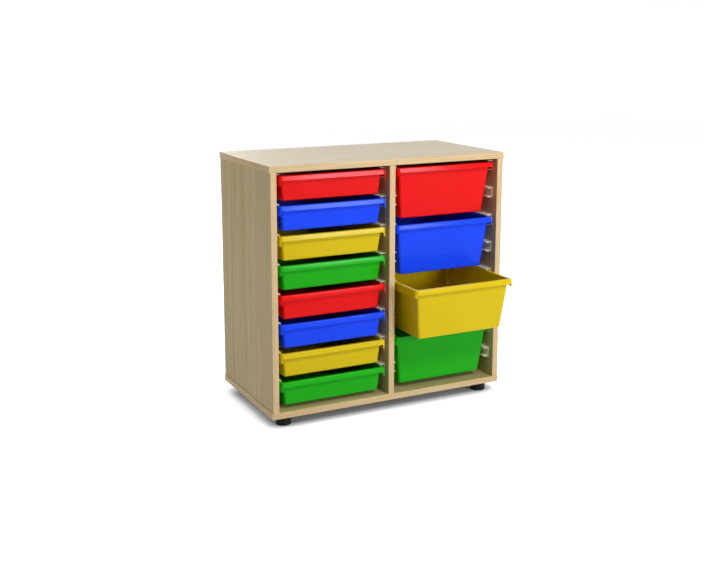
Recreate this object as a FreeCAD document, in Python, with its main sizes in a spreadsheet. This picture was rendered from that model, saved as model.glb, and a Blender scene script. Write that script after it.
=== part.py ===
import FreeCAD, Part
import math
import os
import re
import Sketcher
from FreeCAD import Placement, Rotation, Vector

# Classroom tray storage unit: a two-bay cabinet of melamine-faced board on four
# plastic feet.  Plastic runners are let into its uprights at eight levels, and
# moulded trays slide in them: shallow trays in the left bay, deep ones in the right.
#
# Frame, in millimetres: X to the right, Y from the front to the back, Z up.  The
# origin is on the floor, in the middle of the footprint with one deep tray drawn out.

# ---------------------------------------------------------------- driving sizes

SIZES = [
    ("CarcassWide", 780, "top and bottom panels, over their edge bands"),
    ("CarcassDeep", 404, "front edge to rear edge"),
    ("CarcassHigh", 738, "underside of the bottom panel to the top face"),
    ("BoardThick", 19, "melamine-faced board"),
    ("BackThick", 8, "back panel"),
    ("BackInset", 8, "rear edges to the back panel"),
    ("BackPlay", 0.2, "back panel to each face of its groove"),
    ("GrooveDeep", 6, "grooves for the back panel"),
    ("SideReveal", 3, "top and bottom panels past the outer uprights"),
    ("BandThick", 2, "edge bands"),
    ("TongueThick", 5, "loose tongues between uprights and panels"),
    ("TongueWide", 40, "a tongue, front to back"),
    ("TongueLong", 26, "a tongue, along the upright"),
    ("TongueInPanel", 11, "part of a tongue in the top or bottom panel"),
    ("TongueFromEdge", 60, "middle of the first and last tongue from the ends of their row"),
    ("FitPlay", 0.1, "clearance all round tongues and foot spigots"),
    ("FootDia", 45, "round foot"),
    ("FootHigh", 30, "floor to the bottom panel"),
    ("SpigotWide", 12, "square spigot that plugs a foot into the bottom panel"),
    ("SpigotLong", 13, "length of that spigot"),
    ("FootInSide", 50, "side edge of the bottom panel to a foot's centre"),
    ("FootInFront", 40, "front edge to a front foot's centre"),
    ("FootInRear", 67, "rear edge to a rear foot's centre"),
    ("RunnerLevels", 8, "runner levels in each bay"),
    ("RunnerTopGap", 3.5, "top panel to the first runner"),
    ("FloorSpace", 6.9, "what is left of the bay's height below the lowest level"),
    ("RunnerHigh", 33, "web of a runner"),
    ("RunnerTab", 3, "part of the web that stands above the upper flange"),
    ("RunnerReach", 17, "flanges of a runner, from the board"),
    ("RunnerWall", 2, "web and flanges of a runner"),
    ("RunnerBead", 1.2, "bead along a flange's tip"),
    ("RunnerSetback", 24, "front edge of the cabinet to a runner"),
    ("RunnerBackPlay", 14, "back panel to a runner"),
    ("SpineHigh", 3, "spine that holds a runner in its groove"),
    ("SpineDeep", 6, "depth of that spine"),
    ("TrayPlay", 7.5, "board to the rim of a tray, at each side"),
    ("TrayBackPlay", 22, "back panel to the rim of a closed tray"),
    ("TrayInset", 4, "front edge of the cabinet to the rim of a closed tray"),
    ("TrayPull", 117, "how far the third deep tray is drawn out"),
    ("TrayWall", 2, "walls of a tray"),
    ("RimCorner", 12, "corner radius of the rim, seen from above"),
    ("LipHigh", 15, "turned-down lip at the front and the rear"),
    ("RimDrop", 7, "top of a runner to the rim of its tray"),
    ("SeatGap", 0.3, "side skirt to the flange it slides on"),
    ("BeadPlay", 0.7, "side skirt to the bead of that flange"),
    ("StopGap", 0.3, "ear of a closed tray to the runner's end"),
    ("EarHigh", 28, "rim to the lower edge of an ear"),
    ("EarWide", 4, "an ear, in from the side of the rim"),
    ("TubPlay", 0.5, "mouth of the tub to the line of the runners' tips"),
    ("TubInset", 10, "rim's front and rear edges to the tub"),
    ("TubCorner", 8, "upright corners of the tub"),
    ("WallSlope", 0.11, "inward lean of the walls for each unit of depth"),
    ("ShallowSpace", 12.2, "underside of a shallow tray to the rim of the next one"),
    ("DeepSpace", 16.4, "underside of a deep tray to the rim of the next one"),
]

COLOURS = ("red", "blue", "yellow", "green")
DRAWN_TRAY = 3           # deep tray that is drawn out, counted from the top
TONGUES_IN_ROW = 3

doc = FreeCAD.newDocument("TrayStorageUnit")
sheet = doc.addObject("Spreadsheet::Sheet", "Sizes")
for row, (alias, size, note) in enumerate(SIZES, 1):
    sheet.set(f"A{row}", alias)
    sheet.set(f"B{row}", str(size))
    sheet.set(f"C{row}", note)
    sheet.setAlias(f"B{row}", alias)
doc.recompute()

# Sizes that follow from the driving ones, as formulas.
INNER_HIGH = "(CarcassHigh - 2 * BoardThick)"
INNER_WIDE = "(CarcassWide - 2 * SideReveal - 2 * BoardThick)"
BAY_WIDE = f"(({INNER_WIDE} - BoardThick) / 2)"
BAY_MIDDLE = f"(({BAY_WIDE} + BoardThick) / 2)"
BACK_FACE = "(CarcassDeep - BackInset - BackThick)"
FRONT = "((TrayPull - TrayInset - CarcassDeep) / 2)"
CABINET_FLOOR = "(FootHigh + BoardThick)"
RUNNER_PITCH = f"(({INNER_HIGH} - RunnerTopGap - FloorSpace) / RunnerLevels)"
RUNNER_LONG = f"({BACK_FACE} - RunnerSetback - RunnerBackPlay)"
TRAY_WIDE = f"({BAY_WIDE} - 2 * TrayPlay)"
TRAY_LONG = f"({BACK_FACE} - TrayInset - TrayBackPlay)"
TUB_WIDE = f"({BAY_WIDE} - 2 * RunnerReach - 2 * TubPlay)"
SHALLOW_HIGH = f"({RUNNER_PITCH} - ShallowSpace)"
DEEP_HIGH = f"(2 * {RUNNER_PITCH} - DeepSpace)"
SKIRT_HIGH = "(RunnerHigh - RunnerWall - RimDrop - SeatGap)"
SKIRT_LINE = f"({BAY_WIDE} / 2 - RunnerReach + RunnerWall + BeadPlay)"
EAR_BACK = "(RunnerSetback - TrayInset - StopGap)"
PIECES = []              # every sub-part, in the order it is made


# ---------------------------------------------------------------- formulas

def formula(text):
    """A formula for setExpression, with each alias looked up in the sheet."""
    return re.sub(r"\b([A-Z]\w+)", r"Sizes.\1", text)


def value(text):
    """What a formula comes to now."""
    return float(sheet.evalExpression(formula(text)))


def bind(item, **sizes):
    """Tie properties of an object to formulas."""
    for name, text in sizes.items():
        item.setExpression(name, formula(text))


def place(item, x, y, z, turn=0):
    """Put an object at a point given by formulas, turned about the vertical."""
    item.Placement = Placement(Vector(), Rotation(Vector(0, 0, 1), turn))
    for axis, text in zip("xyz", (x, y, z)):
        item.setExpression(f"Placement.Base.{axis}", formula(text))


# ---------------------------------------------------------------- sketches

def new_body(label):
    body = doc.addObject("PartDesign::Body", label)
    PIECES.append(body)
    return body


def new_sketch(body, name, plane, level="0"):
    """A sketch on one of the body's origin planes, raised along its normal."""
    sketch = body.newObject("Sketcher::SketchObject", name)
    support = [f for f in body.Origin.OriginFeatures if f.Role == f"{plane}_Plane"]
    sketch.AttachmentSupport = (support[0], "")
    sketch.MapMode = "FlatFace"
    sketch.setExpression("AttachmentOffset.Base.z", formula(level))
    return sketch


def hold(sketch, kind, *where, size):
    """Add one dimension to a sketch and tie it to a formula."""
    index = sketch.addConstraint(Sketcher.Constraint(kind, *where, value(size)))
    sketch.setExpression(f"Constraints[{index}]", formula(size))


def outline(sketch, corners):
    """A closed polygon; each corner is a pair of formulas from the origin."""
    points = [Vector(value(x), value(y), 0) for x, y in corners]
    first = sketch.GeometryCount
    for start, end in zip(points, points[1:] + points[:1]):
        sketch.addGeometry(Part.LineSegment(start, end))
    for i, (x, y) in enumerate(corners):
        after = first + (i + 1) % len(corners)
        sketch.addConstraint(Sketcher.Constraint("Coincident", first + i, 2, after, 1))
        hold(sketch, "DistanceX", -1, 1, first + i, 1, size=x)
        hold(sketch, "DistanceY", -1, 1, first + i, 1, size=y)


def rectangle(sketch, left, low, right, high):
    outline(sketch, [(left, low), (right, low), (right, high), (left, high)])


def rounded(sketch, wide, front, back, radius):
    """A rectangle centred on the sketch's vertical axis, with round corners."""
    x, r = value(wide) / 2, value(radius)
    y0, y1 = value(front), value(back)
    first = sketch.GeometryCount
    sides = [((r - x, y0), (x - r, y0)), ((x, y0 + r), (x, y1 - r)),
             ((x - r, y1), (r - x, y1)), ((-x, y1 - r), (-x, y0 + r))]
    centres = [(x - r, y0 + r), (x - r, y1 - r), (r - x, y1 - r), (r - x, y0 + r)]
    for quarter, (side, centre) in enumerate(zip(sides, centres)):
        ends = [Vector(*point, 0) for point in side]
        corner = Part.Circle(Vector(*centre, 0), Vector(0, 0, 1), r)
        angle = quarter * math.pi / 2
        sketch.addGeometry(Part.LineSegment(*ends))
        sketch.addGeometry(Part.ArcOfCircle(corner, angle - math.pi / 2, angle))
    for i in range(8):
        after = first + (i + 1) % 8
        sketch.addConstraint(Sketcher.Constraint("Tangent", first + i, 2, after, 1))
    for i in (1, 3, 5):
        sketch.addConstraint(Sketcher.Constraint("Equal", first + i, first + i + 2))
    for i, way in ((0, "Horizontal"), (2, "Vertical"), (4, "Horizontal"), (6, "Vertical")):
        sketch.addConstraint(Sketcher.Constraint(way, first + i))
    hold(sketch, "Radius", first + 1, size=radius)
    hold(sketch, "DistanceY", -1, 1, first, 1, size=front)
    hold(sketch, "DistanceX", -1, 1, first + 2, 1, size=f"({wide}) / 2")
    hold(sketch, "DistanceY", -1, 1, first + 4, 1, size=back)
    hold(sketch, "DistanceX", -1, 1, first + 6, 1, size=f"-({wide}) / 2")


def circle(sketch, x, y, radius):
    centre = Vector(value(x), value(y), 0)
    index = sketch.addGeometry(Part.Circle(centre, Vector(0, 0, 1), value(radius)))
    hold(sketch, "DistanceX", -1, 1, index, 3, size=x)
    hold(sketch, "DistanceY", -1, 1, index, 3, size=y)
    hold(sketch, "Radius", index, size=radius)


# ---------------------------------------------------------------- features

def extrude(body, sketch, kind, length, backwards=False):
    """A Pad along the sketch's normal or a Pocket against it, or the other way."""
    feature = body.newObject(f"PartDesign::{kind}", f"{kind}_{sketch.Name}")
    feature.Profile = sketch
    feature.Reversed = backwards
    bind(feature, Length=length)
    body.Tip = feature
    return feature


def fillet(body, radius, low, high):
    """Round the edges of the body so far that run from one level to another."""
    doc.recompute()
    base = body.Tip
    edges = [f"Edge{i}" for i, edge in enumerate(base.Shape.Edges, 1)
             if abs(min(vertex.Z for vertex in edge.Vertexes) - low) < 1e-6
             and abs(max(vertex.Z for vertex in edge.Vertexes) - high) < 1e-6]
    feature = body.newObject("PartDesign::Fillet", f"Fillet_{base.Name}")
    feature.Base = (base, edges)
    bind(feature, Radius=radius)
    body.Tip = feature
    return feature


# ---------------------------------------------------------------- boards

def tongue_rows():
    """Distances of the tongues' middles in a row from the cabinet's front edge."""
    span = f"({BACK_FACE} - 2 * TongueFromEdge)"
    return [f"(TongueFromEdge + {span} * {i} / {TONGUES_IN_ROW - 1})"
            for i in range(TONGUES_IN_ROW)]


def mortise(sketch, x, y):
    """The outline of a slot for one tongue."""
    thick, wide = "(TongueThick / 2 + FitPlay)", "(TongueWide / 2 + FitPlay)"
    rectangle(sketch, f"{x} - {thick}", f"{y} - {wide}", f"{x} + {thick}", f"{y} + {wide}")


def upright_middles():
    """X of the middle of each upright, from left to right."""
    outer = f"({INNER_WIDE} + BoardThick) / 2"
    return [f"-{outer}", "0", outer]


def cut_back_groove(sketch, start, end, across):
    """The outline of a groove that holds an edge of the back panel."""
    near, far = f"{BACK_FACE} - BackPlay", f"{BACK_FACE} + BackThick + BackPlay"
    if across:
        rectangle(sketch, start, near, end, far)
    else:
        rectangle(sketch, near, start, far, end)


def upright(label, x, back, runner_faces, groove_face=None):
    """A vertical board with runner grooves; faces are at its left and its right."""
    body = new_body(label)
    board = new_sketch(body, "Board", "YZ")
    rectangle(board, "BandThick", "0", back, INNER_HIGH)
    extrude(body, board, "Pad", "BoardThick")

    levels = {"left": "0", "right": "BoardThick"}
    top_groove = f"{INNER_HIGH} - RunnerTopGap - (RunnerHigh + SpineHigh) / 2"
    for face in runner_faces:
        groove = new_sketch(body, "RunnerGroove", "YZ", levels[face])
        rectangle(groove, "RunnerSetback", top_groove,
                  f"RunnerSetback + {RUNNER_LONG}", f"{top_groove} + SpineHigh")
        cut = extrude(body, groove, "Pocket", "SpineDeep", backwards=face == "left")
        rows = body.newObject("PartDesign::LinearPattern", "RunnerGrooves")
        rows.Originals = [cut]
        rows.Direction = (groove, ["V_Axis"])
        rows.Reversed = True
        bind(rows, Length=f"{RUNNER_PITCH} * (RunnerLevels - 1)", Occurrences="RunnerLevels")
        body.Tip = rows
    if groove_face:
        groove = new_sketch(body, "BackGroove", "YZ", levels[groove_face])
        cut_back_groove(groove, "0", INNER_HIGH, across=False)
        extrude(body, groove, "Pocket", "GrooveDeep", backwards=groove_face == "left")
    for level, from_below in (("0", True), (INNER_HIGH, False)):
        mortises = new_sketch(body, "Mortises", "XY", level)
        for y in tongue_rows():
            mortise(mortises, "BoardThick / 2", y)
        depth = "TongueLong - TongueInPanel + FitPlay"
        extrude(body, mortises, "Pocket", depth, backwards=from_below)
    place(body, x, FRONT, CABINET_FLOOR)


def horizontal_panel(label, z, inner_face_up):
    """The top or the bottom panel, grooved and mortised on its inner face."""
    body = new_body(label)
    board = new_sketch(body, "Board", "XY")
    half = "(CarcassWide / 2 - BandThick)"
    rectangle(board, f"-{half}", "BandThick", half, "CarcassDeep - BandThick")
    extrude(body, board, "Pad", "BoardThick")

    inner = "BoardThick" if inner_face_up else "0"
    groove = new_sketch(body, "BackGroove", "XY", inner)
    reach = f"({INNER_WIDE} / 2 + GrooveDeep)"
    cut_back_groove(groove, f"-{reach}", reach, across=True)
    extrude(body, groove, "Pocket", "GrooveDeep", backwards=not inner_face_up)
    mortises = new_sketch(body, "Mortises", "XY", inner)
    for x in upright_middles():
        for y in tongue_rows():
            mortise(mortises, x, y)
    depth = "TongueInPanel + FitPlay"
    extrude(body, mortises, "Pocket", depth, backwards=not inner_face_up)
    place(body, "0", FRONT, z)
    return body


def socket_for_feet(body):
    """Square holes for the feet's spigots in the underside of the bottom panel."""
    holes = new_sketch(body, "SpigotHoles", "XY")
    half = "(SpigotWide / 2 + FitPlay)"
    for x, y in foot_centres():
        rectangle(holes, f"{x} - {half}", f"{y} - {half}", f"{x} + {half}", f"{y} + {half}")
    extrude(body, holes, "Pocket", "SpigotLong + FitPlay", backwards=True)


def back_panel():
    body = new_body("back_panel")
    board = new_sketch(body, "Board", "XZ")
    tongue = "(GrooveDeep - BackPlay)"
    half = f"({INNER_WIDE} / 2 + {tongue})"
    rectangle(board, f"-{half}", f"-{tongue}", half, f"{INNER_HIGH} + {tongue}")
    extrude(body, board, "Pad", "BackThick", backwards=True)
    place(body, "0", f"{FRONT} + {BACK_FACE}", CABINET_FLOOR)


def group(label, members):
    """One sub-part made of several like solids."""
    compound = doc.addObject("Part::Compound", label)
    compound.Links = members
    PIECES.append(compound)


def strip(x, y, z, long, wide, high):
    """One straight piece of edge band, or one tongue."""
    box = doc.addObject("Part::Box", "Strip")
    bind(box, Length=long, Width=wide, Height=high)
    place(box, x, y, z)
    return box


def panel_bands(label, z):
    """Bands round a horizontal panel: the front and rear ones run full width."""
    left = "-CarcassWide / 2"
    behind = f"{FRONT} + BandThick"
    ends = "CarcassDeep - 2 * BandThick"
    group(label, [
        strip(left, FRONT, z, "CarcassWide", "BandThick", "BoardThick"),
        strip(left, f"{FRONT} + CarcassDeep - BandThick", z,
              "CarcassWide", "BandThick", "BoardThick"),
        strip(left, behind, z, "BandThick", ends, "BoardThick"),
        strip("CarcassWide / 2 - BandThick", behind, z, "BandThick", ends, "BoardThick"),
    ])


def upright_bands():
    group("upright_edge_bands", [
        strip(f"{x} - BoardThick / 2", FRONT, CABINET_FLOOR,
              "BoardThick", "BandThick", INNER_HIGH)
        for x in upright_middles()])


def tongues():
    """Loose tongues at both ends of each upright."""
    ends = (f"{CABINET_FLOOR} - TongueInPanel",
            f"{CABINET_FLOOR} + {INNER_HIGH} + TongueInPanel - TongueLong")
    group("joint_tongues", [
        strip(f"{x} - TongueThick / 2", f"{FRONT} + {y} - TongueWide / 2", z,
              "TongueThick", "TongueWide", "TongueLong")
        for x in upright_middles() for y in tongue_rows() for z in ends])


# ---------------------------------------------------------------- feet

def foot_centres():
    """Feet at the front left, front right, rear left and rear right."""
    side = "(CarcassWide / 2 - FootInSide)"
    return [(x, y) for y in ("FootInFront", "CarcassDeep - FootInRear")
            for x in (f"-{side}", side)]


def foot(label, x, y):
    """A round foot with a square spigot that plugs into the bottom panel."""
    body = new_body(label)
    disc = new_sketch(body, "Round", "XY")
    circle(disc, "0", "0", "FootDia / 2")
    extrude(body, disc, "Pad", "FootHigh")
    spigot = new_sketch(body, "Spigot", "XY", "FootHigh")
    half = "SpigotWide / 2"
    rectangle(spigot, f"-{half}", f"-{half}", half, half)
    extrude(body, spigot, "Pad", "SpigotLong")
    place(body, x, f"{FRONT} + {y}", "0")


# ---------------------------------------------------------------- runners

def runner_top(level):
    """Height of the top of a runner; levels count from 1 at the top."""
    return (f"({CABINET_FLOOR} + {INNER_HIGH} - RunnerTopGap"
            f" - {level - 1} * {RUNNER_PITCH})")


def runner(label, wall, faces_right, level):
    """A runner with two flanges, whose spine is pressed into the groove of a board."""
    body = new_body(label)
    profile = new_sketch(body, "Profile", "XZ")
    tip, inside, bead = "RunnerReach", "RunnerReach - RunnerWall", "RunnerWall + RunnerBead"
    spine_top = "-(RunnerHigh - SpineHigh) / 2"
    spine_foot = "-(RunnerHigh + SpineHigh) / 2"
    outline(profile, [
        ("0", "0"), ("RunnerWall", "0"), ("RunnerWall", "-RunnerTab"), (tip, "-RunnerTab"),
        (tip, f"-(RunnerTab + {bead})"), (inside, f"-(RunnerTab + {bead})"),
        (inside, "-(RunnerTab + RunnerWall)"), ("RunnerWall", "-(RunnerTab + RunnerWall)"),
        ("RunnerWall", "RunnerWall - RunnerHigh"), (inside, "RunnerWall - RunnerHigh"),
        (inside, f"{bead} - RunnerHigh"), (tip, f"{bead} - RunnerHigh"),
        (tip, "-RunnerHigh"), ("0", "-RunnerHigh"), ("0", spine_foot),
        ("-SpineDeep", spine_foot), ("-SpineDeep", spine_top), ("0", spine_top)])
    extrude(body, profile, "Pad", RUNNER_LONG, backwards=True)
    start = f"{FRONT} + RunnerSetback"
    if faces_right:
        place(body, wall, start, runner_top(level))
    else:
        place(body, wall, f"{start} + {RUNNER_LONG}", runner_top(level), turn=180)


def runners():
    """A runner on both walls of both bays at each level."""
    outer = f"{INNER_WIDE} / 2"
    walls = [("left_bay_outer_runner", f"-{outer}", True),
             ("left_bay_inner_runner", "-BoardThick / 2", False),
             ("right_bay_inner_runner", "BoardThick / 2", True),
             ("right_bay_outer_runner", outer, False)]
    for label, wall, faces_right in walls:
        for level in range(1, round(value("RunnerLevels")) + 1):
            runner(f"{label}_{level}", wall, faces_right, level)


# ---------------------------------------------------------------- trays

def leaning_block(body, kind, name, depth, wall="0"):
    """Add or cut a block whose four sides lean inwards, from the rim down to a depth.

    It is the outside of a tub, or its hollow when it is given the wall."""
    block = body.newObject(f"PartDesign::{kind}Wedge", name)
    upright = [f for f in body.Origin.OriginFeatures if f.Role == "XZ_Plane"]
    block.AttachmentSupport = (upright[0], "")
    block.MapMode = "FlatFace"
    lean = f"(WallSlope * ({depth}) + {wall})"
    for end, inward in (("", lean), ("2", wall)):
        bind(block, **{f"X{end}min": f"-({TUB_WIDE} / 2 - {inward})",
                       f"X{end}max": f"{TUB_WIDE} / 2 - {inward}",
                       f"Z{end}min": f"-({TRAY_LONG} - TubInset - {inward})",
                       f"Z{end}max": f"-(TubInset + {inward})"})
    bind(block, Ymin=f"-({depth})", Ymax="0")
    body.Tip = block
    return block


def relieve(body, name, half_wide, start, end, remain):
    """Cut the skirt between two distances from the front, down to a lesser height."""
    relief = new_sketch(body, name, "XY", "-EarHigh")
    rectangle(relief, f"-({half_wide})", start, half_wide, end)
    extrude(body, relief, "Pocket", f"EarHigh - {remain}", backwards=True)


def tray(label, high, side, level, drawn="0"):
    """A moulded tray: a leaning tub under a rim with a turned-down skirt.

    The skirt is a short lip at the front and the rear, slides on the runners at the
    sides, and hangs lowest in the two front ears, which stop against the runners."""
    body = new_body(label)
    rim = new_sketch(body, "Rim", "XY")
    rounded(rim, TRAY_WIDE, "0", TRAY_LONG, "RimCorner")
    extrude(body, rim, "Pad", "TrayWall", backwards=True)

    skirt = new_sketch(body, "Skirt", "XY")
    rounded(skirt, TRAY_WIDE, "0", TRAY_LONG, "RimCorner")
    rounded(skirt, f"{TRAY_WIDE} - 2 * TrayWall", "TrayWall", f"{TRAY_LONG} - TrayWall",
            "RimCorner - TrayWall")
    extrude(body, skirt, "Pad", "EarHigh", backwards=True)
    before, behind = "-TrayWall", f"{TRAY_LONG} + TrayWall"
    relieve(body, "FrontLip", f"{TRAY_WIDE} / 2 - EarWide", before, EAR_BACK, "LipHigh")
    relieve(body, "RearLip", SKIRT_LINE, EAR_BACK, behind, "LipHigh")
    relieve(body, "SideSkirts", f"{TRAY_WIDE} / 2 + TrayWall", EAR_BACK, behind, SKIRT_HIGH)

    hollow = f"({high} - TrayWall)"
    leaning_block(body, "Additive", "Tub", high)
    leaning_block(body, "Subtractive", "Hollow", hollow, "TrayWall")
    fillet(body, "TubCorner - TrayWall", -value(hollow), 0)
    fillet(body, "TubCorner", -value(high), -value("TrayWall"))
    place(body, f"{side} * {BAY_MIDDLE}", f"{FRONT} + TrayInset - {drawn}",
          f"{runner_top(level)} - RimDrop")


def trays():
    """Shallow trays fill the left bay; deep trays take two levels each at the right."""
    levels = round(value("RunnerLevels"))
    for level in range(1, levels + 1):
        colour = COLOURS[(level - 1) % len(COLOURS)]
        tray(f"shallow_tray_{level}_{colour}", SHALLOW_HIGH, "-1", level)
    for number in range(1, levels // 2 + 1):
        colour = COLOURS[(number - 1) % len(COLOURS)]
        drawn = "TrayPull" if number == DRAWN_TRAY else "0"
        tray(f"deep_tray_{number}_{colour}", DEEP_HIGH, "1", 2 * number - 1, drawn)


# ---------------------------------------------------------------- assembly

def cabinet():
    left, _, right = upright_middles()
    bottom = horizontal_panel("bottom_panel", "FootHigh", inner_face_up=True)
    socket_for_feet(bottom)
    top = "(FootHigh + CarcassHigh - BoardThick)"
    horizontal_panel("top_panel", top, inner_face_up=False)
    upright("left_side_panel", f"{left} - BoardThick / 2", "CarcassDeep",
            ["right"], "right")
    upright("centre_divider", "-BoardThick / 2", BACK_FACE, ["left", "right"])
    upright("right_side_panel", f"{right} - BoardThick / 2", "CarcassDeep",
            ["left"], "left")
    back_panel()
    panel_bands("bottom_edge_bands", "FootHigh")
    panel_bands("top_edge_bands", top)
    upright_bands()
    tongues()


def feet():
    labels = ("front_left_foot", "front_right_foot", "rear_left_foot", "rear_right_foot")
    for label, (x, y) in zip(labels, foot_centres()):
        foot(label, x, y)


# ---------------------------------------------------------------- checks and files

def check():
    """Stop if any object failed, cut nothing or has no valid shape."""
    for item in doc.Objects:
        if {"Invalid", "Error"} & set(item.State):
            raise RuntimeError(f"{item.Name} failed: {item.State}")
        if item.TypeId in ("PartDesign::Pocket", "PartDesign::SubtractiveWedge"):
            if item.Shape.Volume > item.BaseFeature.Shape.Volume - 1:
                raise RuntimeError(f"{item.Name} cut nothing")
    for piece in PIECES:
        if piece.Shape.isNull() or not piece.Shape.isValid():
            raise RuntimeError(f"{piece.Label} has no valid shape")


def export():
    """Write each sub-part to a file named after it."""
    os.makedirs("parts", exist_ok=True)
    for piece in PIECES:
        piece.Shape.exportStep(f"parts/{piece.Label}.step")


cabinet()
feet()
runners()
trays()
doc.recompute()
check()
export()
print(f"{len(PIECES)} sub-parts, {sum(len(p.Shape.Solids) for p in PIECES)} solids")
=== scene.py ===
# %% [markdown]
# # A classroom tray storage unit
#
# The cabinet is made of maple-faced boards with plastic edge bands. It stands on four black feet
# and holds twelve moulded trays that hang by their rims in plastic runners. The CAD model gives
# every place and outer size. Small sizes that its boxes don't tell, such as the thickness of a
# wall, are repeated here. Blender adds what makes it look real: rounded edges and finishes.

# %% Load the frame
from math import cos, pi, radians, sin

import bmesh
import bpy
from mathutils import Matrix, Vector


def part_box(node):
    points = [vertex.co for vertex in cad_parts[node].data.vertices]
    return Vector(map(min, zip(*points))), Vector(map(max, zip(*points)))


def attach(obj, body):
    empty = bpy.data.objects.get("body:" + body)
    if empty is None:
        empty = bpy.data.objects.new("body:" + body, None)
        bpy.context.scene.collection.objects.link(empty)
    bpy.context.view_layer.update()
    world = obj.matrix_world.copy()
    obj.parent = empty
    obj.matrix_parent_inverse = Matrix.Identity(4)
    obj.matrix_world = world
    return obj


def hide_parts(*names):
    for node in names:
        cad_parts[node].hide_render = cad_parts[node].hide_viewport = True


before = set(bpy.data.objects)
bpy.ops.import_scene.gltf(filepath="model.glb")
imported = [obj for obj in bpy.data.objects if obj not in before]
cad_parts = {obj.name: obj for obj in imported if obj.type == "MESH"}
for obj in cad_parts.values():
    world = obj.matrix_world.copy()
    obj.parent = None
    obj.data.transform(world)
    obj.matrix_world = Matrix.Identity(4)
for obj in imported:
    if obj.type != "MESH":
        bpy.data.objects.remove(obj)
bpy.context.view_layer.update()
MM = 0.001

# %% [markdown]
# ## Shader maths that reads like maths
#
# A material is a graph of nodes, and small sums make large graphs. This class wraps one socket, so
# that `0.3 + 0.1 * grain` in Python adds the Math nodes by itself. The other class makes any node
# from its type, its settings and its sockets.

# %% Wires
class Wire:
    """A value inside a node tree. Ordinary operators on it add Math nodes."""

    def __init__(self, nodes, socket):
        self.nodes, self.socket = nodes, socket

    def maths(self, operation, first, second):
        return self.nodes.node("ShaderNodeMath", {"operation": operation}, {0: first, 1: second})

    def __add__(self, other):
        return self.maths("ADD", self, other)

    def __radd__(self, other):
        return self.maths("ADD", other, self)

    def __sub__(self, other):
        return self.maths("SUBTRACT", self, other)

    def __rsub__(self, other):
        return self.maths("SUBTRACT", other, self)

    def __mul__(self, other):
        return self.maths("MULTIPLY", self, other)

    def __rmul__(self, other):
        return self.maths("MULTIPLY", other, self)


# %% Node trees
class Nodes:
    """Makes nodes in one tree: settings first, then the values or links of the sockets."""

    def __init__(self, tree):
        self.tree = tree
        tree.nodes.clear()

    def node(self, kind, settings=(), sockets=(), out=0):
        made = self.tree.nodes.new(kind)
        for key, value in dict(settings).items():
            setattr(made, key, value)
        for key, value in dict(sockets).items():
            socket = made.inputs[key]
            if isinstance(value, Wire):
                self.tree.links.new(value.socket, socket)
            elif socket.type == "RGBA" and len(value) == 3:
                socket.default_value = (*value, 1.0)
            else:
                socket.default_value = value
        return Wire(self, made.outputs[out]) if made.outputs else made

    def place(self, kind="Object"):
        """Where a point is, on the object or on its UV map. The object's unit is the metre."""
        return self.node("ShaderNodeTexCoord", out=kind)

    def stretch(self, vector, factors):
        """Scales a vector, so that a pattern on it is fine one way and long the other."""
        return self.node("ShaderNodeVectorMath", {"operation": "MULTIPLY"}, {0: vector, 1: factors})

    def shift(self, vector, other):
        return self.node("ShaderNodeVectorMath", {"operation": "ADD"}, {0: vector, 1: other})

    def noise(self, vector, scale=1.0, detail=2.0, roughness=0.5, out="Fac"):
        return self.node("ShaderNodeTexNoise", {},
                         {"Vector": vector, "Scale": scale, "Detail": detail,
                          "Roughness": roughness}, out)

    def ramp(self, value, low, high, to_low=0.0, to_high=1.0):
        """Turns the part of a value between low and high into a smooth step."""
        return self.node("ShaderNodeMapRange", {"interpolation_type": "SMOOTHSTEP"},
                         {0: value, 1: low, 2: high, 3: to_low, 4: to_high})

    def mix(self, factor, first, second):
        """Blends two colours. A Mix node keeps them in sockets 6 and 7, and its colour in 2."""
        return self.node("ShaderNodeMix", {"data_type": "RGBA"},
                         {0: factor, 6: first, 7: second}, 2)

    def bump(self, height, distance, strength):
        return self.node("ShaderNodeBump", {}, {"Height": height, "Distance": distance,
                                                "Strength": strength})


# %% Materials
def finish(name):
    """A new material with an empty tree."""
    material = bpy.data.materials.new(name)
    material.use_nodes = True
    return material, Nodes(material.node_tree)


def surface(nodes, **sockets):
    """The Principled shader, fed by its sockets' names with spaces written as underscores."""
    shader = nodes.node("ShaderNodeBsdfPrincipled", {},
                        {key.replace("_", " "): value for key, value in sockets.items()})
    nodes.node("ShaderNodeOutputMaterial", {}, {"Surface": shader})


# %% [markdown]
# ## Maple-faced board
#
# The boards are chipboard under a printed maple sheet. The print has fine pores and soft, long
# figure along the grain. Noise that is stretched along one axis gives both. The grain runs from
# side to side in the top and the bottom, and upwards in the sides. The top wears to a soft shine,
# while the others stay matt. So the finish is made three times. The three copies also differ in
# colour only for light: the top's paler colour is painted sheen, the bottom's darker colour is
# painted shade, and the uprights' deeper yellow makes up for the reflection that pales them.

# %% Board finishes
PORE_BROWN = (0.38, 0.28, 0.11)
WANDER = 0.02           # how far the figure strays from straight, in metres
PORE_DEEP = 0.08 * MM


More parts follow.
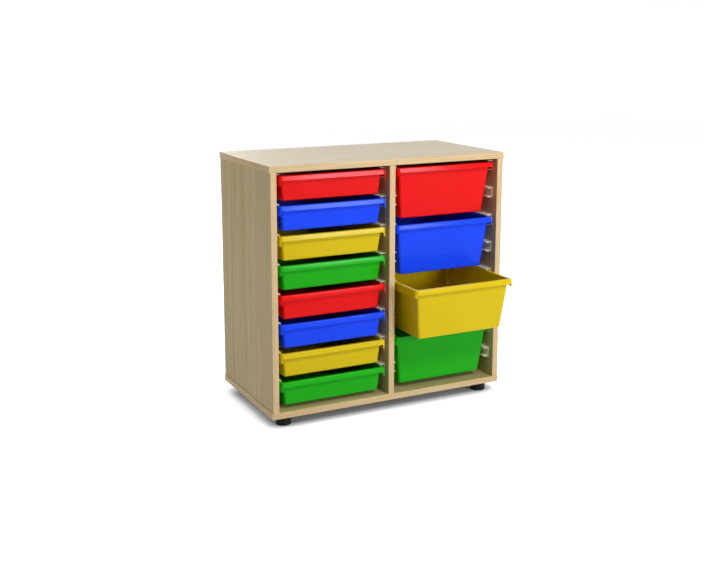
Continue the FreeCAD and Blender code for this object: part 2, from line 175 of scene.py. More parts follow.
def board_finish(name, long_axis, rough, gloss, light, dark):
    material, nodes = finish(name)
    place = nodes.place()

    def grain(vector, across, along):
        """Turns a pattern with the grain. The numbers are its cells in a metre each way."""
        cells = (along if axis == long_axis else across for axis in range(3))
        return nodes.stretch(vector, tuple(cells))

    stray = nodes.noise(grain(place, 3.0, 1.0), detail=1.0, out="Color")
    bent = nodes.shift(place, nodes.stretch(stray, (WANDER, WANDER, WANDER)))
    figure = nodes.noise(grain(bent, 52.0, 1.5), detail=4.0, roughness=0.6)
    pores = nodes.noise(grain(place, 420.0, 9.0))
    patches = nodes.noise(place, 5.0, detail=1.0)
    colour = nodes.mix(nodes.ramp(figure, 0.3, 0.72), light, dark)
    colour = nodes.mix(nodes.ramp(pores, 0.5, 0.75, 0.0, 0.4), colour, PORE_BROWN)
    colour = nodes.mix(nodes.ramp(patches, 0.35, 0.7, 0.0, 0.25), colour, light)
    surface(nodes, Base_Color=colour, Roughness=rough + 0.08 * figure + 0.04 * pores,
            Normal=nodes.bump(pores, PORE_DEEP, 0.6), Specular_IOR_Level=gloss)
    return material


ALONG_X, ALONG_Z = 0, 2
# Colours set for light: the top paler as painted sheen, the bottom darker as painted shade, and the
# uprights a deeper yellow against the reflection on them.
maple_top_painted_sheen = board_finish("maple_board_top_painted_sheen", ALONG_X, rough=0.36, gloss=0.62,
                         light=(0.56, 0.465, 0.32), dark=(0.475, 0.39, 0.255))
maple_across_painted_shade = board_finish("maple_board_across_painted_shade", ALONG_X, rough=0.45, gloss=0.1,
                            light=(0.50, 0.41, 0.20), dark=(0.425, 0.34, 0.15))
maple_upright = board_finish("maple_board_upright", ALONG_Z, rough=0.45, gloss=0.1,
                             light=(0.60, 0.475, 0.26), dark=(0.49, 0.385, 0.185))
print("finishes:", maple_top_painted_sheen.name, maple_across_painted_shade.name, maple_upright.name)

# %% [markdown]
# ## Edge band
#
# A 2 mm plastic band is glued round each board's edge. It is printed with straight streaks that
# follow the edge, a little warmer than the faces. The streaks turn with the band at the corners,
# so they are laid out on a UV map: u runs along the band in metres, v across it.

# %% Edge band finish
BAND_LIGHT, BAND_DARK = (0.72, 0.525, 0.30), (0.57, 0.395, 0.19)
BAND_FADED, BAND_FLECK = (0.70, 0.54, 0.33), (0.42, 0.27, 0.12)

edge_band, nodes = finish("streaked_edge_band")
place = nodes.place("UV")
streaks = nodes.noise(nodes.stretch(place, (5.0, 330.0, 1.0)), detail=4.0, roughness=0.65)
fleck = nodes.noise(nodes.stretch(place, (60.0, 1500.0, 1.0)), detail=1.0)
drift = nodes.noise(nodes.stretch(place, (2.2, 20.0, 1.0)))
colour = nodes.mix(nodes.ramp(streaks, 0.3, 0.7), BAND_LIGHT, BAND_DARK)
colour = nodes.mix(nodes.ramp(drift, 0.4, 0.75, 0.0, 0.5), colour, BAND_FADED)
colour = nodes.mix(nodes.ramp(fleck, 0.56, 0.8, 0.0, 0.55), colour, BAND_FLECK)
surface(nodes, Base_Color=colour, Roughness=0.42 + 0.12 * streaks,
        Normal=nodes.bump(fleck + streaks, 0.06 * MM, 0.5), Specular_IOR_Level=0.15)
print("finish:", edge_band.name)

# %% [markdown]
# ## Moulded plastics
#
# The trays are polypropylene in four strong colours. A mould leaves a very fine texture, and use
# leaves fine scuffs along the way the trays slide. All four colours share one recipe.

# %% Tray finishes
def tray_finish(name, colour, deep, scuffed):
    material, nodes = finish(name)
    place = nodes.place()
    cloud = nodes.noise(place, 9.0, detail=3.0)
    texture = nodes.noise(place, 1400.0, detail=1.0)
    scratch = nodes.noise(nodes.stretch(place, (900.0, 14.0, 900.0)))
    scuff = nodes.ramp(scratch, 0.62, 0.8) * nodes.ramp(cloud, 0.4, 0.65)
    tint = nodes.mix(nodes.ramp(cloud, 0.3, 0.7, 0.0, 0.3), colour, deep)
    tint = nodes.mix(0.35 * scuff, tint, scuffed)
    # The cool Specular Tint is painted light: it gives the plastic's reflections the blue-white of
    # a cool lamp, though the lamps are white.
    surface(nodes, Base_Color=tint, Roughness=0.12 + 0.07 * cloud + 0.25 * scuff,
            Normal=nodes.bump(texture + 0.6 * scuff, 0.1 * MM, 0.3),
            Specular_IOR_Level=0.12, Specular_Tint=(0.72, 0.88, 1.0))
    return material


# Each colour, its deeper shade in soft clouds, and its paler one where it is scuffed.
TRAY_COLOURS = {
    "red": ((0.83, 0.004, 0.002), (0.75, 0.003, 0.002), (0.9, 0.14, 0.10)),
    "blue": ((0.010, 0.066, 0.94), (0.006, 0.05, 0.84), (0.14, 0.24, 0.95)),
    "yellow": ((0.70, 0.51, 0.003), (0.64, 0.45, 0.002), (0.85, 0.74, 0.25)),
    "green": ((0.012, 0.43, 0.002), (0.008, 0.37, 0.002), (0.16, 0.58, 0.12)),
}
tray_finishes = {word: tray_finish("tray_" + word, *tones)
                 for word, tones in TRAY_COLOURS.items()}
print("tray colours:", ", ".join(tray_finishes))

# %% [markdown]
# ## Cream runners and black feet
#
# The runners are a cream satin plastic, extruded, so their faint lines run along them. The feet
# are black plastic with a coarse texture and a little dust.

# %% Runner and foot finishes
CREAM, CREAM_SHADE, CREAM_LINE = (0.88, 0.84, 0.68), (0.80, 0.75, 0.58), (0.68, 0.62, 0.46)
BLACK, DUSTY_BLACK = (0.005, 0.005, 0.005), (0.015, 0.014, 0.012)

runner_plastic, nodes = finish("runner_plastic")
place = nodes.place()
lines = nodes.noise(nodes.stretch(place, (700.0, 4.0, 700.0)))
colour = nodes.mix(nodes.ramp(nodes.noise(place, 14.0), 0.3, 0.7), CREAM, CREAM_SHADE)
colour = nodes.mix(nodes.ramp(lines, 0.5, 0.8, 0.0, 0.3), colour, CREAM_LINE)
surface(nodes, Base_Color=colour, Roughness=0.38 + 0.1 * lines,
        Normal=nodes.bump(lines, 0.06 * MM, 0.4), Specular_IOR_Level=0.15)

foot_plastic, nodes = finish("foot_plastic")
place = nodes.place()
grit = nodes.noise(place, 1100.0)
dust = nodes.noise(place, 60.0, detail=3.0)
colour = nodes.mix(nodes.ramp(dust, 0.5, 0.8, 0.0, 0.5), BLACK, DUSTY_BLACK)
surface(nodes, Base_Color=colour, Roughness=0.4 + 0.2 * dust,
        Normal=nodes.bump(grit, 0.2 * MM, 0.5), Specular_IOR_Level=0.15)
print("finishes:", runner_plastic.name, foot_plastic.name)

# %% [markdown]
# ## Plywood tongues
#
# Thin plywood tongues join the uprights to the top and the bottom. They are hidden in their slots.
# A Wave texture gives the layers, which show as stripes across the thickness.

# %% Plywood finish
PLY_LIGHT, PLY_DARK, PLY_FIBRE = (0.58, 0.40, 0.21), (0.42, 0.26, 0.12), (0.34, 0.2, 0.09)

plywood, nodes = finish("tongue_plywood")
place = nodes.place()
layers = nodes.node("ShaderNodeTexWave", {"bands_direction": "X"},
                    {"Vector": place, "Scale": 200.0, "Distortion": 0.5})
fibre = nodes.noise(nodes.stretch(place, (500.0, 500.0, 30.0)), detail=3.0)
colour = nodes.mix(nodes.ramp(layers, 0.35, 0.65), PLY_LIGHT, PLY_DARK)
colour = nodes.mix(nodes.ramp(fibre, 0.5, 0.8, 0.0, 0.5), colour, PLY_FIBRE)
surface(nodes, Base_Color=colour, Roughness=0.6 + 0.15 * fibre,
        Normal=nodes.bump(fibre, 0.2 * MM, 0.5))
print("finish:", plywood.name)

# %% [markdown]
# ## Dress the CAD boards
#
# The boards are flat, and their edges lie under the bands, so the CAD shape is already right. They
# keep it and only take a finish. So do the tongues.

# %% Board materials
DRESSED = {
    "top_panel": maple_top_painted_sheen, "bottom_panel": maple_across_painted_shade, "left_side_panel": maple_upright,
    "right_side_panel": maple_upright, "centre_divider": maple_upright,
    "back_panel": maple_upright, "joint_tongues": plywood,
}
for node, material in DRESSED.items():
    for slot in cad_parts[node].material_slots:
        slot.material = material
print("dressed:", ", ".join(DRESSED))

# %% [markdown]
# ## Meshes from rings
#
# Most pieces here are lofts: a row of closed rings with the same number of points, joined by
# four-sided faces. A rounded edge is a few rings close together. One more ring just beside each
# rounding keeps the shading of the flat faces flat.

# %% Lofts
# Four distances from a rounding to the ring that keeps the face beside it flat.
TIGHT, CLOSE, BESIDE, CLEAR = 0.4 * MM, 0.6 * MM, 0.8 * MM, 1.5 * MM


def loft(rings, closed=False):
    """Vertices and faces that join each ring to the next one, or cap the two ends."""
    count = len(rings[0])
    points = [point for ring in rings for point in ring]
    faces = []
    for low in range(len(rings) if closed else len(rings) - 1):
        high = (low + 1) % len(rings)
        for a in range(count):
            b = (a + 1) % count
            faces.append((low * count + a, low * count + b, high * count + b, high * count + a))
    if not closed:
        last = (len(rings) - 1) * count
        faces.append(tuple(reversed(range(count))))
        faces.append(tuple(range(last, last + count)))
    return points, faces


def gather(lofts):
    """The vertices and faces of several lofts in one mesh."""
    points, faces = [], []
    for more, joined in lofts:
        faces += [tuple(len(points) + k for k in face) for face in joined]
        points += more
    return points, faces


def quarter(steps, start=0.0, end=90.0):
    """Cosines and sines on the way round a corner."""
    turns = [radians(start + (end - start) * k / steps) for k in range(steps + 1)]
    return [(cos(turn), sin(turn)) for turn in turns]


# %% Pieces
CREASE = radians(35)    # edges that bend more than this stay sharp


def piece(name, points, faces, material, slot, uv=None):
    """A closed mesh object with smooth roundings and sharp creases."""
    mesh = bpy.data.meshes.new(name)
    mesh.from_pydata(points, [], faces)
    work = bmesh.new()
    work.from_mesh(mesh)
    bmesh.ops.recalc_face_normals(work, faces=work.faces)
    work.to_mesh(mesh)
    work.free()
    mesh.shade_smooth()
    mesh.set_sharp_from_angle(angle=CREASE)
    mesh.materials.append(material)
    if uv:
        layer = mesh.uv_layers.new(name="Band")
        for face in mesh.polygons:
            for corner in face.loop_indices:
                point = mesh.vertices[mesh.loops[corner].vertex_index].co
                layer.data[corner].uv = uv(point, face.center)
    made = bpy.data.objects.new(name, mesh)
    bpy.context.scene.collection.objects.link(made)
    return made


# %% [markdown]
# ## Edge bands round the panels
#
# Round the top and the bottom panel the band closes on itself. Its section is drawn once, with its
# two outer edges rounded by a trimming cutter, and lofted round the four corners.

# %% Panel bands
BAND_ROUND, BAND_CORNER, LEAST_CORNER = 1.2 * MM, 1.6 * MM, 0.05 * MM
BAND_FACE_RING, BAND_EDGE_RING = 0.2 * MM, 0.5 * MM     # the rings beside a rounding


def rectangle_ring(low, high, inset, z, radius):
    """A rectangle with rounded corners, inside two opposite corners by an inset."""
    points = []
    for x, y, turn in ((high.x, low.y, -90), (high.x, high.y, 0), (low.x, high.y, 90),
                       (low.x, low.y, 180)):
        centre_x = x + (inset + radius) * (1 if x == low.x else -1)
        centre_y = y + (inset + radius) * (1 if y == low.y else -1)
        points += [Vector((centre_x + radius * c, centre_y + radius * s, z))
                   for c, s in quarter(4, turn, turn + 90)]
    return points


def panel_band(node, panel):
    low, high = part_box(node)
    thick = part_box(panel)[0].x - low.x
    start = BAND_ROUND + BAND_FACE_RING
    section = [(thick, low.z), (start, low.z)]
    section += [(BAND_ROUND * (1 - s), low.z + BAND_ROUND * (1 - c)) for c, s in quarter(4)]
    section += [(0.0, low.z + BAND_ROUND + BAND_EDGE_RING),
                (0.0, high.z - BAND_ROUND - BAND_EDGE_RING)]
    section += [(BAND_ROUND * (1 - c), high.z - BAND_ROUND * (1 - s)) for c, s in quarter(4)]
    section += [(start, high.z), (thick, high.z)]
    rings = [rectangle_ring(low, high, inset, z, max(BAND_CORNER - inset, LEAST_CORNER))
             for inset, z in section]

    def along(point, centre):
        to_side = min(centre.x - low.x, high.x - centre.x)
        to_end = min(centre.y - low.y, high.y - centre.y)
        run, across = (point.y, point.x) if to_side < to_end else (point.x, point.y)
        return run, point.z + across

    made = piece(node + "_rounded", *loft(rings, closed=True), edge_band, "edge_band", along)
    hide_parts(node)
    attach(made, "cabinet")
    return made


for node, panel in (("top_edge_bands", "top_panel"), ("bottom_edge_bands", "bottom_panel")):
    print(node, len(panel_band(node, panel).data.polygons), "faces")

# %% [markdown]
# ## Edge bands of the uprights
#
# The three uprights have a band on their front edge only. Each is a straight bar with two rounded
# edges, so a small polygon tool rounds the corners of its section, and the section is swept up.

# %% Rounded sections and bars
def soften(corners, radii, steps=4):
    """Rounds each corner of a polygon by its own radius. A radius of 0 leaves it sharp."""
    points = []
    for k, corner in enumerate(corners):
        here, radius = Vector(corner), radii[k]
        if not radius:
            points.append(here)
            continue
        before = (Vector(corners[k - 1]) - here).normalized()
        after = (Vector(corners[(k + 1) % len(corners)]) - here).normalized()
        half = before.angle(after) / 2
        reach = radius / sin(half) * cos(half)
        centre = here + (before + after).normalized() * radius / sin(half)
        first, last = here + before * reach - centre, here + after * reach - centre
        sweep = pi - 2 * half
        for step in range(steps + 1):
            t = step / steps
            spoke = first * sin((1 - t) * sweep) + last * sin(t * sweep)
            points.append(centre + spoke / sin(sweep))
    return points


LEAST_LEAN = 0.4        # keeps a point at a sharp corner from shooting inwards


def shrink(points, by):
    """Moves each point of an anticlockwise polygon inwards."""
    moved = []
    for k, point in enumerate(points):
        before = (point - points[k - 1]).normalized()
        after = (points[(k + 1) % len(points)] - point).normalized()
        normal = Vector((-(before.y + after.y), before.x + after.x)).normalized()
        lean = max(LEAST_LEAN, normal.dot(Vector((-before.y, before.x))))
        moved.append(point + normal * by / lean)
    return moved


def bar(section, start, end, put, soft):
    """Rings of a straight bar with eased ends. put(a, b, run) gives a point of its section."""
    steps = [(start, soft), (start + 0.3 * soft, 0.3 * soft), (start + soft, 0.0),
             (start + 2 * soft, 0.0), (end - 2 * soft, 0.0), (end - soft, 0.0),
             (end - 0.3 * soft, 0.3 * soft), (end, soft)]
    return [[put(p.x, p.y, run) for p in (shrink(section, by) if by else section)]
            for run, by in steps]


# %% Upright bands
CUT_END = 0.05 * MM     # a cut end is hardly eased


def upright_bands(node):
    low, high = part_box(node)
    bars = []
    for panel in ("left_side_panel", "centre_divider", "right_side_panel"):
        left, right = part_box(panel)[0].x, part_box(panel)[1].x
        section = soften([(left, low.y), (right, low.y), (right, high.y), (left, high.y)],
                         [BAND_ROUND, BAND_ROUND, 0, 0])
        bars.append(loft(bar(section, low.z, high.z,
                             lambda a, b, run: Vector((a, b, run)), CUT_END)))
    made = piece(node + "_rounded", *gather(bars), edge_band, "edge_band",
                 lambda point, centre: (point.z, point.x + point.y))
    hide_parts(node)
    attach(made, "cabinet")
    return made


print("upright bands:", len(upright_bands("upright_edge_bands").data.polygons), "faces")

# %% [markdown]
# ## Runners
#
# Every wall carries the same ladder of runners, 32 in all, so this is work for Geometry Nodes. One
# runner is drawn as a section, a web with two beaded flanges, and swept. The tree then repeats
# it at every level. Realize Instances turns the copies into real mesh.

# %% The ladder tree
ladder = bpy.data.node_groups.new("runner_ladder", "GeometryNodeTree")
for name, kind in (("Geometry", "NodeSocketGeometry"), ("Levels", "NodeSocketInt"),
                   ("Pitch", "NodeSocketFloat"), ("Finish", "NodeSocketMaterial")):
    ladder.interface.new_socket(name, in_out="INPUT", socket_type=kind)
ladder.interface.new_socket("Geometry", in_out="OUTPUT", socket_type="NodeSocketGeometry")
tree = Nodes(ladder)
given = tree.node("NodeGroupInput")
sockets = {item.name: Wire(tree, item) for item in given.socket.node.outputs if item.name}
down = tree.node("ShaderNodeCombineXYZ", {}, {"Z": 0 - sockets["Pitch"]})
levels = tree.node("GeometryNodeMeshLine", {"mode": "OFFSET"},
                   {"Count": sockets["Levels"], "Offset": down})
copies = tree.node("GeometryNodeInstanceOnPoints", {},
                   {"Points": levels, "Instance": sockets["Geometry"]})
real = tree.node("GeometryNodeRealizeInstances", {}, {0: copies})
dressed = tree.node("GeometryNodeSetMaterial", {}, {0: real, "Material": sockets["Finish"]})
tree.node("NodeGroupOutput", {}, {0: dressed})
print("ladder inputs:", ", ".join(sockets))

# %% Runner section
RUNNER_WALL, RUNNER_BEAD, RUNNER_TAB = 2 * MM, 1.2 * MM, 3 * MM
SPINE_DEEP, SPINE_HIGH = 6 * MM, 3 * MM
# Radii of the flanges' outer edges, of the beads and the tab, of the corners inside the slot, of
# the edges where a bead meets its flange, and of the edges against the board.
OUTER_EDGE, BEAD_EDGE, SLOT_EDGE, NECK_EDGE, BOARD_EDGE = (0.9 * MM, 0.7 * MM, 0.6 * MM, 0.4 * MM,
                                                           0.3 * MM)


def runner_section(reach, high):
    """The section, anticlockwise, with the board's face at 0 and the spine behind it."""
    inside, bead = reach - RUNNER_WALL, RUNNER_WALL + RUNNER_BEAD
    spine_top, spine_foot = (SPINE_HIGH - high) / 2, (-SPINE_HIGH - high) / 2
    outline = [
        (0, -high, BOARD_EDGE), (reach, -high, OUTER_EDGE),
        (reach, bead - high, BEAD_EDGE), (inside, bead - high, BEAD_EDGE),
        (inside, RUNNER_WALL - high, NECK_EDGE), (RUNNER_WALL, RUNNER_WALL - high, SLOT_EDGE),
        (RUNNER_WALL, -RUNNER_TAB - RUNNER_WALL, SLOT_EDGE),
        (inside, -RUNNER_TAB - RUNNER_WALL, NECK_EDGE),
        (inside, -RUNNER_TAB - bead, BEAD_EDGE), (reach, -RUNNER_TAB - bead, BEAD_EDGE),
        (reach, -RUNNER_TAB, OUTER_EDGE), (RUNNER_WALL, -RUNNER_TAB, SLOT_EDGE),
        (RUNNER_WALL, 0, BEAD_EDGE), (0, 0, BOARD_EDGE),
        (0, spine_top, 0), (-SPINE_DEEP, spine_top, BOARD_EDGE),
        (-SPINE_DEEP, spine_foot, BOARD_EDGE), (0, spine_foot, 0)]
    return soften([corner[:2] for corner in outline], [corner[2] for corner in outline], 3)


# %% Ladders
LEVELS, RUNNER_END = 8, 0.4 * MM


def evaluated(made):
    """The mesh that an object's modifiers give."""
    graph = bpy.context.evaluated_depsgraph_get()
    return bpy.data.meshes.new_from_object(made.evaluated_get(graph), depsgraph=graph)


def runner_ladder(label, faces_right):
    low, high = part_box(f"{label}_1")
    next_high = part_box(f"{label}_2")[1]
    way = 1 if faces_right else -1
    spine, tip = (low.x, high.x) if faces_right else (high.x, low.x)
    wall = spine + way * SPINE_DEEP
    section = runner_section(abs(tip - wall), high.z - low.z)
    rings = bar(section, low.y, high.y,
                lambda a, b, run: Vector((wall + way * a, run, high.z + b)), RUNNER_END)
    made = piece(label + "s", *loft(rings), runner_plastic, "runner")
    modifier = made.modifiers.new("Ladder", "NODES")
    modifier.node_group = ladder
    values = {"Levels": LEVELS, "Pitch": high.z - next_high.z, "Finish": runner_plastic}
    for item in ladder.interface.items_tree:
        if item.in_out == "INPUT" and item.name in values:
            modifier[item.identifier] = values[item.name]
    mesh = evaluated(made)
    made.modifiers.clear()
    made.data = mesh
    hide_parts(*[f"{label}_{level}" for level in range(1, LEVELS + 1)])
    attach(made, "cabinet")
    print(made.name, len(mesh.polygons), "faces")


for label, faces_right in (("left_bay_outer_runner", True), ("left_bay_inner_runner", False),
                           ("right_bay_inner_runner", True), ("right_bay_outer_runner", False)):
    runner_ladder(label, faces_right)

# %% [markdown]
# ## Feet
#
# A foot is a turned disc: one outline, spun round an upright axis, with its lower edge rounded. It
# stands on a narrow ring, inside which the underside is a little hollow. On top of it a square
# spigot runs up into the panel. It is a bar with eased edges.

# %% Turned feet
TURNS = 48
FOOT_ROUND, FOOT_RING, FOOT_HOLLOW, FOOT_EDGE = 2.5 * MM, 4 * MM, 0.6 * MM, 0.6 * MM
SPIGOT_WIDE, SPIGOT_LONG, SPIGOT_CORNER = 12 * MM, 13 * MM, 1 * MM
SPIGOT_SUNK, SPIGOT_END = 0.5 * MM, 0.4 * MM


def foot_outline(radius, seat):
    """Radius and height of each ring, from the hollow underside up to the panel's seat."""
    ring = radius - FOOT_ROUND
    outline = [(ring - FOOT_RING, FOOT_HOLLOW), (ring - FOOT_RING + FOOT_HOLLOW, 0.0),
               (ring - TIGHT, 0.0)]
    outline += [(radius - FOOT_ROUND * (1 - s), FOOT_ROUND * (1 - c)) for c, s in quarter(5)]
    outline += [(radius, FOOT_ROUND + BESIDE), (radius, seat - 2 * FOOT_EDGE),
                (radius, seat - FOOT_EDGE), (radius - FOOT_EDGE / 3, seat - FOOT_EDGE / 4),
                (radius - FOOT_EDGE, seat), (radius - 2 * FOOT_EDGE, seat)]
    return outline


def foot_piece(node):
    low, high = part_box(node)
    middle, radius = (low + high) / 2, (high.x - low.x) / 2
    seat = high.z - SPIGOT_LONG
    turns = [2 * pi * k / TURNS for k in range(TURNS)]
    disc = [[Vector((middle.x + r * cos(turn), middle.y + r * sin(turn), z)) for turn in turns]
            for r, z in foot_outline(radius, seat)]
    half = SPIGOT_WIDE / 2
    section = soften([(-half, -half), (half, -half), (half, half), (-half, half)],
                     [SPIGOT_CORNER] * 4)
    spigot = bar(section, seat - SPIGOT_SUNK, high.z,
                 lambda a, b, run: Vector((middle.x + a, middle.y + b, run)), SPIGOT_END)
    made = piece(node + "_turned", *gather([loft(disc), loft(spigot)]), foot_plastic, "foot")
    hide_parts(node)
    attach(made, "cabinet")
    return made


for node in ("front_left_foot", "front_right_foot", "rear_left_foot", "rear_right_foot"):
    print(node, len(foot_piece(node).data.polygons), "faces")

# %% [markdown]
# ## Trays
#
# A tray is one sheet of plastic, about 2 mm thick: a leaning tub, a flat rim and a skirt that
# turns down from the rim. Going round the outside and back down the inside, the whole tray is a
# single row of rings. Each ring knows its distance in from the rim's edge, its corner radius and
# its height.

# %% Tray sizes
RIM_CORNER, RIM_ROUND = 12 * MM, 2.4 * MM       # the rim's corners in plan, and its upper edge
TUB_CORNER, TUB_INSET = 8 * MM, 10 * MM         # the tub's corners, and the rim's edge to the tub
WALL, LEAN = 2 * MM, 0.11                       # inward lean of the walls for each unit of depth
FLOOR_ROUND, MOUTH_ROUND, SKIRT_ROUND = 2.5 * MM, 1.2 * MM, 0.8 * MM
FILLET = 1 * MM                                 # between the tub and the underside of the rim
LIP, SIDE, LIP_LEAN = 15 * MM, 23.7 * MM, 1.8 * MM      # heights of lip and side, and the lean
EAR, DEEP_EAR = 28 * MM, 24.5 * MM              # heights of the ears of both kinds of tray
EAR_WIDE, EAR_BACK = 8 * MM, 19.7 * MM          # across the front, and back along the side
SIDE_STARTS = 164.95 * MM                       # from the tray's middle to the side skirt
SLACK = 0.1 * MM                                # to tell two neighbouring points apart
print("lip", LIP, "side skirt", SIDE, "ears", EAR, DEEP_EAR)

# %% [markdown]
# The skirt's foot follows its own line: short at the front and the rear, deeper along the runners,
# and deepest in the two front ears. The line is a function of the place in plan, so every ring has
# its points in the same places, and more of them where the line is steep.

# %% The skirt's line and the plan of a ring
EAR_RISE, EAR_END, REAR_RISE = 2 * MM, 1.2 * MM, 2.5 * MM       # the lengths of its steep parts
EAR_STOPS = (0, 10, 20, 30, 40, 50, 60, 70.5, 73, 75.5, 78, 80.4, 85, 90)
CORNER_STOPS = (0, 10, 20, 30, 39, 48, 51, 54, 57, 60, 64, 72, 81, 90)
SIDE_STOPS = [EAR_BACK - RIM_CORNER + step * MM for step in (-1.6, -1.2, -0.9, -0.6, -0.3, 0, 0.4)]


def smooth(value, start, end):
    t = min(1.0, max(0.0, (value - start) / (end - start)))
    return t * t * (3 - 2 * t)


def skirt_depth(x, y, half, ear):
    """How far the skirt hangs below the rim, x from the middle and y behind the front."""
    x = abs(x)
    if y < RIM_CORNER + SLACK:
        return LIP + (ear - LIP) * smooth(x, half - EAR_WIDE - EAR_RISE, half - EAR_WIDE)
    if y <= EAR_BACK:
        return SIDE + (ear - SIDE) * (1 - smooth(y, EAR_BACK - EAR_END, EAR_BACK))
    return LIP + (SIDE - LIP) * smooth(x, SIDE_STARTS, SIDE_STARTS + REAR_RISE)


def tray_outline(half, long, inset, radius):
    """One ring of a tray in plan, anticlockwise from the right end of the front."""
    side, front, rear = half - inset - radius, inset + radius, long - inset - radius
    right = [(side + radius * cos(radians(a)), front - radius * sin(radians(a)))
             for a in reversed(EAR_STOPS)]
    right += [(half - inset, front + stop) for stop in SIDE_STOPS]
    right += [(side + radius * cos(radians(a)), rear + radius * sin(radians(a)))
              for a in CORNER_STOPS]
    return right + [(-x, y) for x, y in reversed(right)]


# %% [markdown]
# The rows below are the section of a tray, in the order of its rings. A row is the distance in from
# the rim's edge, the corner radius and the height: either down from the top of the rim, or above
# the foot of the skirt. The outer face of the lip leans in towards the top, so that the tray comes
# out of its mould, and it catches the light there.

# %% The outside of a tray
HEM = WALL + LIP_LEAN       # from the rim's edge to the skirt's inside
# Under the rim and down the inside of the skirt, in millimetres past the hem and below the rim.
HEM_CURVE = ((1.6, 0), (0.6, 0), (0.15, 0.2), (0, 0.7), (-0.1, 1.4))


def tub_inset(depth):
    """How far in from the rim's edge the tub's outer face is, at a depth below the rim."""
    return TUB_INSET + LEAN * depth


def outside_rows(high):
    """The underside, the tub's outer face, the underside of the rim and the skirt's inside."""
    turn = FLOOR_ROUND + WALL
    foot = tub_inset(high - turn)
    rows = [(foot + turn + CLOSE, TUB_CORNER - turn - CLOSE, high, None)]
    rows += [(foot + turn * (1 - s), TUB_CORNER - turn * (1 - s), high - turn * (1 - c), None)
             for c, s in quarter(5)]
    for depth in (high - turn - CLEAR, WALL + 2.2 * FILLET, WALL + FILLET):
        rows.append((tub_inset(depth), TUB_CORNER, depth, None))
    rows += [(tub_inset(WALL) - 0.3 * FILLET, TUB_CORNER, WALL + 0.3 * FILLET, None),
             (tub_inset(WALL) - FILLET, TUB_CORNER + 0.5 * FILLET, WALL, None)]
    rows += [(HEM + inwards * MM, RIM_CORNER - HEM, WALL + down * MM, None)
             for inwards, down in HEM_CURVE]
    return rows


def skirt_rows():
    """The foot of the skirt, the leaning outer face of the lip and the rim's upper edge."""
    rows = [(WALL, RIM_CORNER - WALL, None, 2 * SKIRT_ROUND)]
    rows += [(WALL - SKIRT_ROUND * (1 - c), RIM_CORNER - WALL + SKIRT_ROUND * (1 - c), None,
              SKIRT_ROUND * (1 - s)) for c, s in quarter(3)]
    rows += [(SKIRT_ROUND * (1 - s), RIM_CORNER - SKIRT_ROUND * (1 - s), None,
              SKIRT_ROUND * (1 - c)) for c, s in quarter(3)]
    rows += [(0.0, RIM_CORNER, None, 2 * SKIRT_ROUND),
             (LIP_LEAN - SLACK, RIM_CORNER - LIP_LEAN, RIM_ROUND + BESIDE, None)]
    for c, s in quarter(6):
        turn = LIP_LEAN + RIM_ROUND * (1 - c)
        rows.append((turn, RIM_CORNER - turn, RIM_ROUND * (1 - s), None))
    turn = LIP_LEAN + RIM_ROUND + CLOSE
    return rows + [(turn, RIM_CORNER - turn, 0.0, None)]


# %% The inside of a tray
MOUTH_RING = 0.5 * MM


def inside_rows(high):
    """The mouth of the tub, the inner face of its wall and the rounding to its floor."""
    mouth, corner = TUB_INSET + WALL, TUB_CORNER - WALL
    rows = [(mouth - MOUTH_ROUND - MOUTH_RING, corner + MOUTH_ROUND + MOUTH_RING, 0.0, None)]
    for c, s in quarter(4):
        depth, back = MOUTH_ROUND * (1 - c), MOUTH_ROUND * (1 - s)
        rows.append((mouth - back + LEAN * depth, corner + back, depth, None))
    floor = high - WALL
    for depth in (MOUTH_ROUND + BESIDE, floor - FLOOR_ROUND - CLEAR):
        rows.append((tub_inset(depth) + WALL, corner, depth, None))
    foot = tub_inset(floor - FLOOR_ROUND) + WALL
    rows += [(foot + FLOOR_ROUND * (1 - c), corner - FLOOR_ROUND * (1 - c),
              floor - FLOOR_ROUND * (1 - s), None) for c, s in quarter(5)]
    return rows + [(foot + FLOOR_ROUND + BESIDE, corner - FLOOR_ROUND - BESIDE, floor, None)]


# %% Tray builder
def tray_piece(node):
    low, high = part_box(node)
    half, long, deep = (high.x - low.x) / 2, high.y - low.y, high.z - low.z
    middle = (low.x + high.x) / 2
    ear = DEEP_EAR if node.startswith("deep") else EAR
    skirt = [skirt_depth(x, y, half, ear) for x, y in tray_outline(half, long, 0.0, RIM_CORNER)]
    rings = []
    for inset, radius, down, above in outside_rows(deep) + skirt_rows() + inside_rows(deep):
        plan = tray_outline(half, long, inset, radius)
        rings.append([Vector((middle + x, low.y + y,
                              high.z - (down if above is None else depth - above)))
                      for (x, y), depth in zip(plan, skirt)])
    body, word = node.rsplit("_", 1)
    made = piece("moulded_" + body, *loft(rings), tray_finishes[word], "tray_" + word)
    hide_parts(node)
    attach(made, body)
    return made


trays = [tray_piece(node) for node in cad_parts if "_tray_" in node]
print(len(trays), "trays,", len(trays[0].data.polygons), "faces each")

# %% [markdown]
# ## Floor and world
#
# The set is plain. The world is dim for lighting and white for the camera and for reflections. The
# floor is a pale matt sheet that glows for the same rays, so that it reads as white. An Ambient
# Occlusion node takes the glow away close to the unit, which keeps its shadow.

# %% World
AMBIENT = 0.07          # the world's light on the unit, where 1 is white


def seen_directly(nodes):
    """1 for camera rays, reflections and rays through glass, 0 for the light on the object."""
    path = nodes.node("ShaderNodeLightPath", out="Is Camera Ray")
    glossy, through = (Wire(nodes, path.socket.node.outputs[name])
                       for name in ("Is Glossy Ray", "Is Transmission Ray"))
    return nodes.node("ShaderNodeMath", {"operation": "MAXIMUM"}, {0: path, 1: glossy + through})


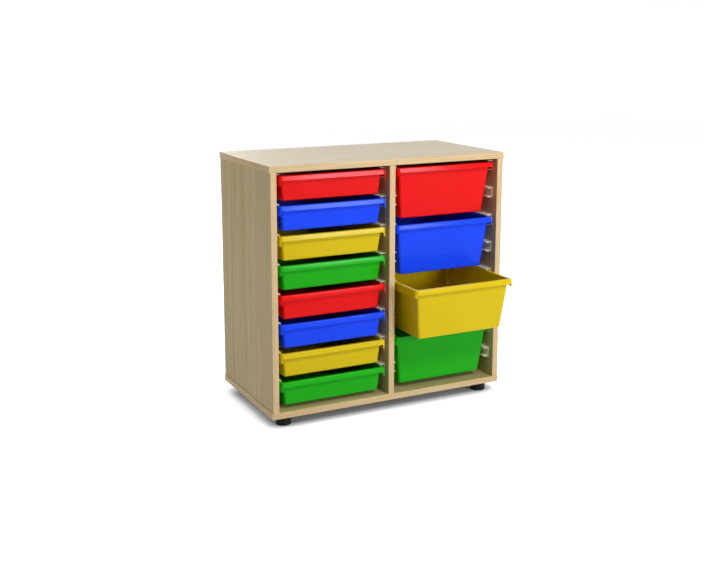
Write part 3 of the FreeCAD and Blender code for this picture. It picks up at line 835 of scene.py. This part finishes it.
world = bpy.data.worlds.new("studio")
bpy.context.scene.world = world
world.use_nodes = True
nodes = Nodes(world.node_tree)
sky = nodes.node("ShaderNodeBackground", {}, {
    "Color": (1.0, 1.0, 1.0), "Strength": AMBIENT + (1 - AMBIENT) * seen_directly(nodes)})
nodes.node("ShaderNodeOutputWorld", {}, {"Surface": sky})
print("world:", world.name)

# %% Floor
FLOOR_HALF, FLOOR_GLOW, FLOOR_PALE = 8.0, 0.95, (0.48, 0.51, 0.55)
SHADOW_REACH = 0.09     # how far from the unit the glow is taken away, in metres

floor_paper, nodes = finish("floor_paper")
paper = nodes.node("ShaderNodeBsdfDiffuse", {}, {"Color": FLOOR_PALE})
open_sky = nodes.node("ShaderNodeAmbientOcclusion", {"samples": 16}, {"Distance": SHADOW_REACH},
                      "AO")
glow = nodes.node("ShaderNodeEmission", {}, {
    "Strength": FLOOR_GLOW * nodes.ramp(open_sky, 0.05, 0.9) * seen_directly(nodes)})
nodes.node("ShaderNodeOutputMaterial", {}, {
    "Surface": nodes.node("ShaderNodeAddShader", {}, {0: paper, 1: glow})})
floor_mesh = bpy.data.meshes.new("floor")
floor_mesh.from_pydata([(-FLOOR_HALF, -FLOOR_HALF, 0), (FLOOR_HALF, -FLOOR_HALF, 0),
                        (FLOOR_HALF, FLOOR_HALF, 0), (-FLOOR_HALF, FLOOR_HALF, 0)],
                       [], [(0, 1, 2, 3)])
floor_mesh.materials.append(floor_paper)
floor = bpy.data.objects.new("floor", floor_mesh)
bpy.context.scene.collection.objects.link(floor)
print("floor:", 2 * FLOOR_HALF, "m square")

# %% [markdown]
# ## Lamps
#
# Two soft lamps stand in front, one hangs above, and there is a fill on each side and behind, so
# the unit looks right from anywhere. All are square area lamps, because a large lamp makes soft
# shadows.

# %% Lamps
# Each lamp's place, the point it is aimed at, its side in metres and its watts.
LAMPS = {
    "key": ((1.4, -3.3, 1.0), (0.0, 0.0, 0.5), 1.0, 63),
    "high_key": ((0.2, -2.5, 2.7), (0.0, 0.0, 0.4), 0.6, 50),
    "overhead": ((0.1, -0.7, 3.4), (0.0, 0.0, 0.7), 1.0, 18),
    "left_fill": ((-3.6, 0.7, 1.4), (0.0, 0.0, 0.4), 1.4, 37),
    "right_fill": ((3.6, 0.7, 1.4), (0.0, 0.0, 0.4), 1.4, 40),
    "rear_fill": ((0.0, 3.8, 2.2), (0.0, 0.0, 0.4), 1.2, 85),
}
for name, (place, aim, side, watts) in LAMPS.items():
    data = bpy.data.lights.new(name, "AREA")
    data.shape, data.size, data.energy = "SQUARE", side, watts
    lamp = bpy.data.objects.new(name, data)
    lamp.location = place
    lamp.rotation_euler = (Vector(aim) - Vector(place)).to_track_quat("-Z", "Y").to_euler()
    lamp.visible_camera = False
    bpy.context.scene.collection.objects.link(lamp)
print("lamps:", ", ".join(LAMPS))

# %% [markdown]
# ## Camera
#
# The camera stands to the left of the cabinet's front and a little above its top, about 3.3 m
# away. Its place was worked out from the corners of the cabinet. The lens is a normal one, 53 mm.

# %% Camera
AZIMUTH, ELEVATION, DISTANCE = radians(-26.674), radians(10.615), 3.255509
TARGET = Vector((-0.030761, 0.0565, 0.537797))
WIDE_PIXELS, HIGH_PIXELS, FOCAL_PIXELS = 705, 564, 1044.65
MIDDLE_ROW = 226        # the row of the picture that the lens looks at
SENSOR = 36.0           # millimetres, as the lens is

camera_data = bpy.data.cameras.new("camera")
camera_data.sensor_width = SENSOR
camera_data.lens = FOCAL_PIXELS * SENSOR / WIDE_PIXELS
camera_data.shift_y = (MIDDLE_ROW - HIGH_PIXELS / 2) / WIDE_PIXELS
camera = bpy.data.objects.new("camera", camera_data)
back = Vector((sin(AZIMUTH) * cos(ELEVATION), -cos(AZIMUTH) * cos(ELEVATION), sin(ELEVATION)))
camera.location = TARGET + back * DISTANCE
camera.rotation_euler = back.to_track_quat("Z", "Y").to_euler()
bpy.context.scene.collection.objects.link(camera)
bpy.context.scene.camera = camera
bpy.context.scene.view_settings.view_transform = "Standard"
print("lens", round(camera_data.lens, 2), "shift", round(camera_data.shift_y, 4))
